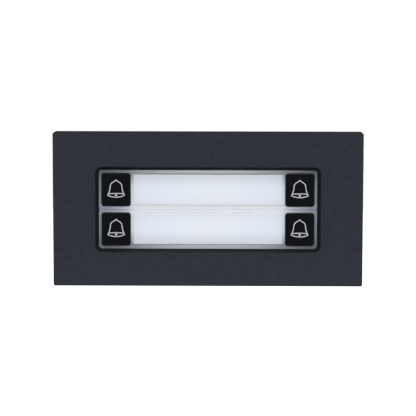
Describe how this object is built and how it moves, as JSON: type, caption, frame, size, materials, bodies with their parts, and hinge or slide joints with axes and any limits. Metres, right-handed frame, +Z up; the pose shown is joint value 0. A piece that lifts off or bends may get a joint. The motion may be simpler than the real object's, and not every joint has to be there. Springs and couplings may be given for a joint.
{
  "type": "intercom button module",
  "caption": "Flat rectangular intercom front module with clear name windows and bell push buttons in a recessed field, and a closed electronics housing behind.",
  "frame": {"origin": "centre of the frame screw pattern in the mounting plane, the rear rim of the front plate", "axes": "+X across the module to the right seen from the front, +Y into the wall, +Z up"},
  "size_m": [0.1, 0.0216, 0.0496],
  "materials": {
    "plate_paint": "matte",
    "seal_rubber": "matte",
    "opal_plastic": "satin",
    "carrier_plastic": "satin",
    "board_laminate": "satin",
    "lamp_body": "gloss",
    "chip_plastic": "matte",
    "capacitor_can": "satin",
    "housing_plastic": "satin",
    "screw_steel": "satin",
    "header_plastic": "satin",
    "pin_brass": "polished",
    "clear_cover": "gloss",
    "card_paper": "matte",
    "cap_plastic": "satin",
    "symbol_plastic": "satin",
    "switch_plastic": "matte",
    "plunger_plastic": "satin"
  },
  "bodies": {
    "module": {"front_plate": "plate_paint", "window_gasket": "seal_rubber", "light_diffuser": "opal_plastic", "button_carrier": "carrier_plastic", "circuit_board": "board_laminate", "backlight_leds": "lamp_body", "controller_chip": "chip_plastic", "capacitors": "capacitor_can", "rear_housing": "housing_plastic", "carrier_screws": "screw_steel", "housing_screws": "screw_steel", "bus_header_left": "header_plastic", "header_pins_left": "pin_brass", "bus_header_right": "header_plastic", "header_pins_right": "pin_brass", "name_window_upper": "clear_cover", "name_card_upper": "card_paper", "name_window_lower": "clear_cover", "name_card_lower": "card_paper", "switch_upper_left": "switch_plastic", "switch_upper_right": "switch_plastic", "switch_lower_left": "switch_plastic", "switch_lower_right": "switch_plastic"},
    "button_upper_left": {"button_cap_upper_left": "cap_plastic", "bell_symbol_upper_left": "symbol_plastic", "switch_plunger_upper_left": "plunger_plastic"},
    "button_upper_right": {"button_cap_upper_right": "cap_plastic", "bell_symbol_upper_right": "symbol_plastic", "switch_plunger_upper_right": "plunger_plastic"},
    "button_lower_left": {"button_cap_lower_left": "cap_plastic", "bell_symbol_lower_left": "symbol_plastic", "switch_plunger_lower_left": "plunger_plastic"},
    "button_lower_right": {"button_cap_lower_right": "cap_plastic", "bell_symbol_lower_right": "symbol_plastic", "switch_plunger_lower_right": "plunger_plastic"}
  },
  "joints": [
    {"name": "press_upper_left", "type": "slide", "parent": "module", "child": "button_upper_left", "axis": [0, 1, 0], "range_m": [0, 0.0008], "stiffness_N_per_m": 1500, "springref_m": -0.0008},
    {"name": "press_upper_right", "type": "slide", "parent": "module", "child": "button_upper_right", "axis": [0, 1, 0], "range_m": [0, 0.0008], "stiffness_N_per_m": 1500, "springref_m": -0.0008},
    {"name": "press_lower_left", "type": "slide", "parent": "module", "child": "button_lower_left", "axis": [0, 1, 0], "range_m": [0, 0.0008], "stiffness_N_per_m": 1500, "springref_m": -0.0008},
    {"name": "press_lower_right", "type": "slide", "parent": "module", "child": "button_lower_right", "axis": [0, 1, 0], "range_m": [0, 0.0008], "stiffness_N_per_m": 1500, "springref_m": -0.0008}
  ]
}
